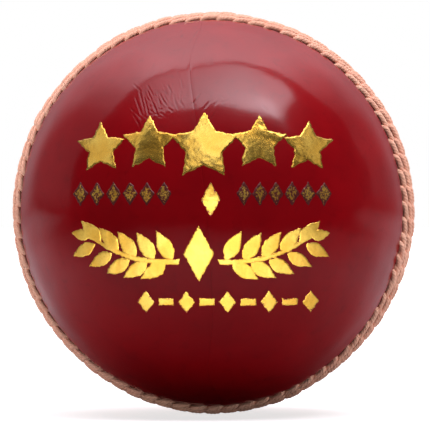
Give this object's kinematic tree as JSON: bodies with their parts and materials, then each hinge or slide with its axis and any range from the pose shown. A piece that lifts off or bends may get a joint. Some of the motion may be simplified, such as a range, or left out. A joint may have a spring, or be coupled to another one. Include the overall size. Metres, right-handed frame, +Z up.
{
  "type": "cricket ball",
  "caption": "Red leather cricket ball with a raised hand-stitched seam round a wound yarn and cork centre.",
  "frame": {"origin": "centre of the ball", "axes": "+Y is the axis through the two leather cups, with the front cup, which carries the gold foil ornament, on -Y; the stitched seam lies in the XZ plane; +Z is up when the ball stands on its seam with the ornament upright"},
  "size_m": [0.0728, 0.0712, 0.0728],
  "materials": {
    "red_leather": "dyed deep red, polished and lacquered",
    "lining_leather": "undyed, split side, matt",
    "seam_thread": "waxed linen thread, twisted, stained by the leather dye",
    "hidden_thread": "waxed linen thread, twisted",
    "wound_yarn": "woollen yarn wound damp and tight",
    "cork_strip": "cut cork sheet",
    "cork_nucleus": "moulded cork and rubber crumb",
    "gold_foil": "hot-stamped foil, rubbed at the edges"
  },
  "bodies": {
    "root": {"front_left_quarter": "red_leather", "front_right_quarter": "red_leather", "rear_lower_quarter": "red_leather", "rear_upper_quarter": "red_leather", "front_quarter_seam_thread": "hidden_thread", "front_outer_stitch_row": "seam_thread", "front_middle_stitch_row": "seam_thread", "front_inner_stitch_row": "seam_thread", "front_cup_lining": "lining_leather", "rear_quarter_seam_thread": "hidden_thread", "rear_outer_stitch_row": "seam_thread", "rear_middle_stitch_row": "seam_thread", "rear_inner_stitch_row": "seam_thread", "rear_cup_lining": "lining_leather", "outer_yarn_winding": "wound_yarn", "middle_yarn_winding": "wound_yarn", "inner_yarn_winding": "wound_yarn", "outer_cork_strip_1": "cork_strip", "outer_cork_strip_2": "cork_strip", "outer_cork_strip_3": "cork_strip", "outer_cork_strip_4": "cork_strip", "outer_cork_strip_5": "cork_strip", "outer_cork_strip_6": "cork_strip", "outer_cork_strip_7": "cork_strip", "outer_cork_strip_8": "cork_strip", "inner_cork_strip_1": "cork_strip", "inner_cork_strip_2": "cork_strip", "inner_cork_strip_3": "cork_strip", "inner_cork_strip_4": "cork_strip", "inner_cork_strip_5": "cork_strip", "inner_cork_strip_6": "cork_strip", "cork_nucleus": "cork_nucleus"}
  },
  "joints": []
}
